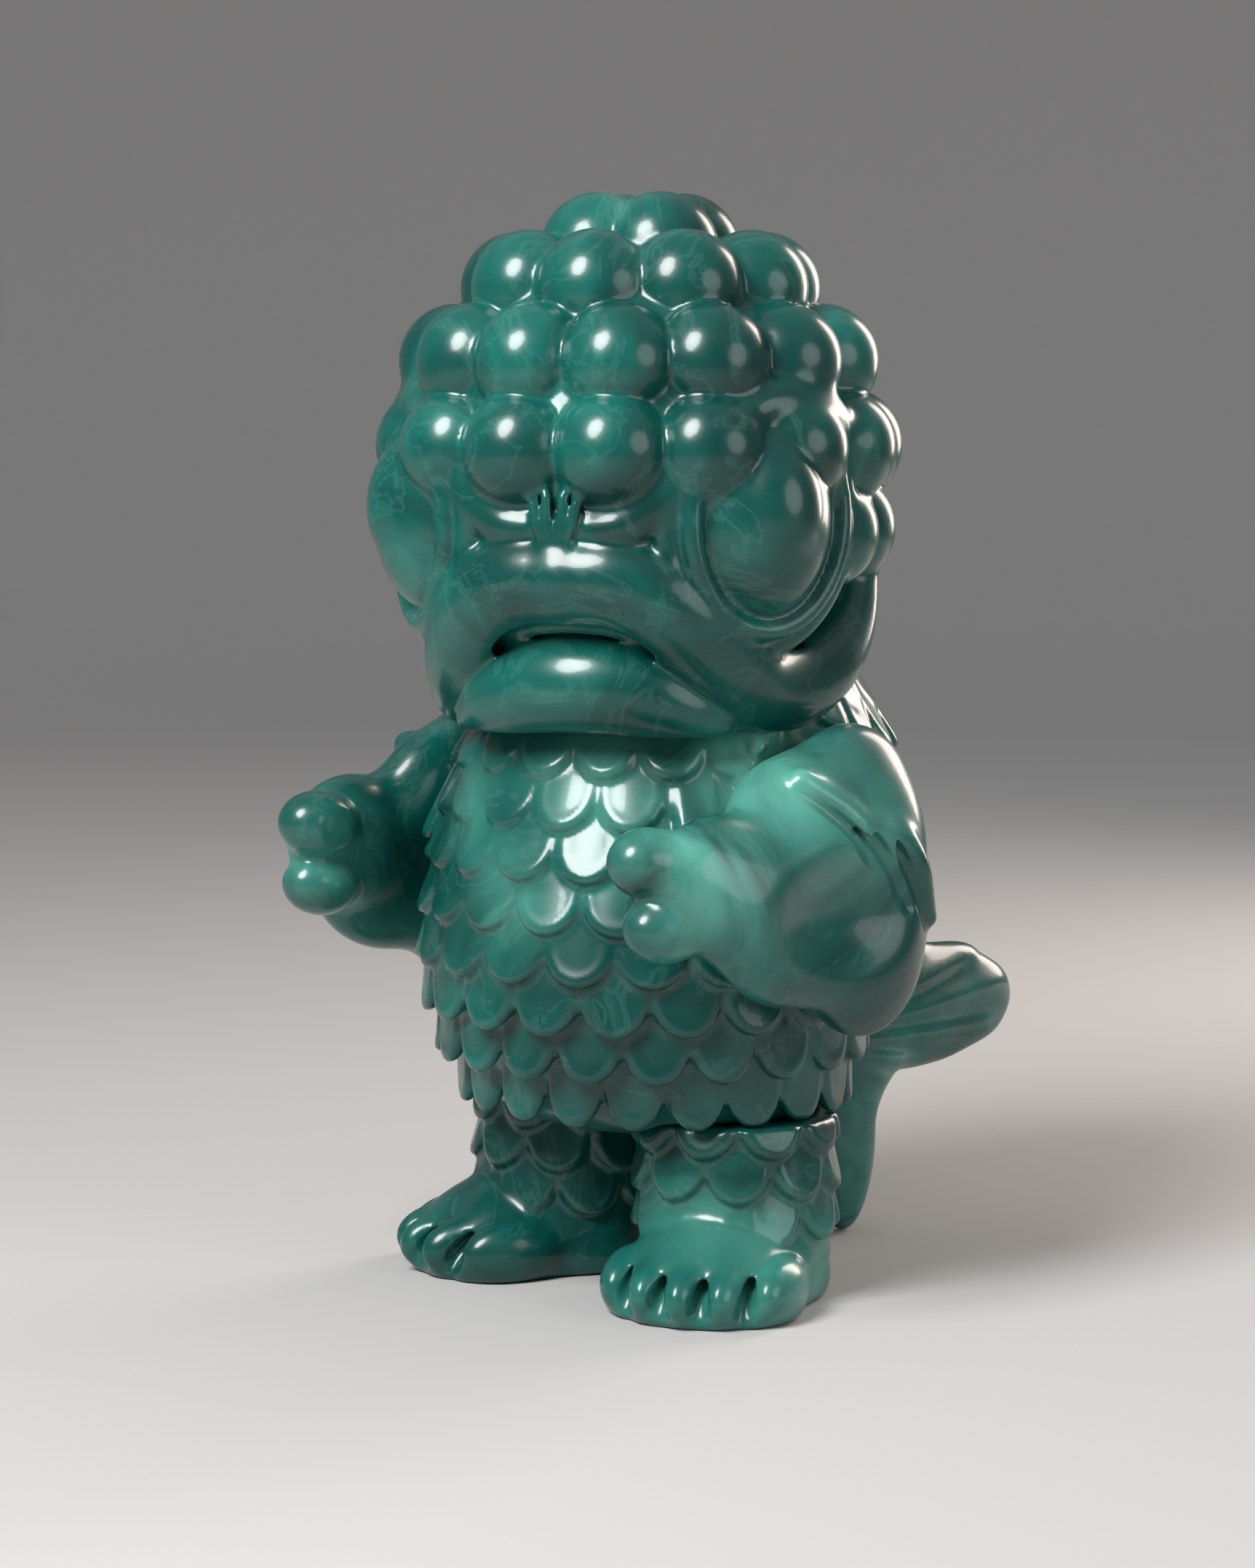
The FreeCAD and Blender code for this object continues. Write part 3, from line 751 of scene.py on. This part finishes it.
def make_floor():
    """A wide pale bowl in metres: a flat floor that curves up into a far wall all round."""
    profile = [(FLOOR_RADIUS * share, 0.0) for share in (0.25, 0.5, 1.0)]
    for step in range(1, 13):
        bend = math.pi / 2 * step / 12
        profile.append((FLOOR_RADIUS + WALL_BEND * math.sin(bend), WALL_BEND - WALL_BEND * math.cos(bend)))
    profile.append((FLOOR_RADIUS + WALL_BEND, WALL_TOP))
    count = 64
    points = []
    for radius, height in profile:
        for step in range(count):
            turn = 2 * math.pi * step / count
            points.append((radius * math.cos(turn), radius * math.sin(turn), height))
    faces = [tuple(range(count))]
    for ring in range(len(profile) - 1):
        for step in range(count):
            following = (step + 1) % count
            low, high = ring * count, (ring + 1) * count
            faces.append((low + step, high + step, high + following, low + following))
    mesh = bpy.data.meshes.new("floor")
    mesh.from_pydata(points, [], faces)
    mesh.polygons.foreach_set("use_smooth", [True] * len(faces))
    floor = bpy.data.objects.new("floor", mesh)
    bpy.context.scene.collection.objects.link(floor)
    material = bpy.data.materials.new("floor")
    material.use_nodes = True
    shader = material.node_tree.nodes["Principled BSDF"]
    shader.inputs["Base Color"].default_value = (0.50, 0.49, 0.48, 1)
    shader.inputs["Roughness"].default_value = 0.9
    shader.inputs["Specular IOR Level"].default_value = 0.1
    mesh.materials.append(material)


def make_lights():
    """A big soft key, a weaker fill, a warm rim from behind and a plain pale sky."""
    middle = seen_from_camera(0, 0, 0.11)
    emitter("key", seen_from_camera(-0.35, 0.45, 0.62), (0.34, 0.46), 8.5, middle)
    emitter("fill", seen_from_camera(0.7, 0.5, 0.35), (0.6, 0.6), 2.0, middle)
    emitter("rim", seen_from_camera(0.42, -0.40, 0.32), (0.2, 0.5), 2.2, middle, (1.0, 0.86, 0.78))
    world = bpy.data.worlds.new("world")
    world.use_nodes = True
    sky = world.node_tree.nodes["Background"]
    sky.inputs["Color"].default_value = (0.80, 0.82, 0.85, 1)
    sky.inputs["Strength"].default_value = 0.42
    bpy.context.scene.world = world
    bpy.context.scene.view_settings.view_transform = "Standard"


# Where the vinyl is sea-foam pale: centre in millimetres from the neck's axis, reach and strength.
PALE_SPOTS = {
    "left_arm": (((47, -40, 84), 13, 0.85), ((46, -16, 97), 14, 0.95), ((58, -6, 92), 11, 0.6)),
    "right_arm": (((-44, -44, 80), 10, 0.35),),
    "torso": (((20, -32, 99), 12, 0.7), ((4, -44, 76), 9, 0.45), ((34, -16, 104), 14, 0.9),
              ((-14, -40, 90), 9, 0.4)),
    "left_leg": (((30, -12, 14), 12, 0.55),),
}


def build_figure():
    """Sculpts every moulded piece, paints it and rides it on its CAD body."""
    pieces = {
        "torso": sculpt_torso(),
        "head": sculpt_head(),
        "left_arm": sculpt_arm("left_arm", False),
        "right_arm": sculpt_arm("right_arm", True),
        "left_leg": sculpt_leg("left_leg", False),
        "right_leg": sculpt_leg("right_leg", True),
        "tail": sculpt_tail(),
    }
    vinyl = marbled_vinyl()
    for body, piece in pieces.items():
        piece.data.materials.append(vinyl)
        paint_pale(piece, PALE_SPOTS.get(body, ()))
        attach(piece, body)
        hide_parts(f"{body}_shell")


build_figure()
make_camera()
make_floor()
make_lights()
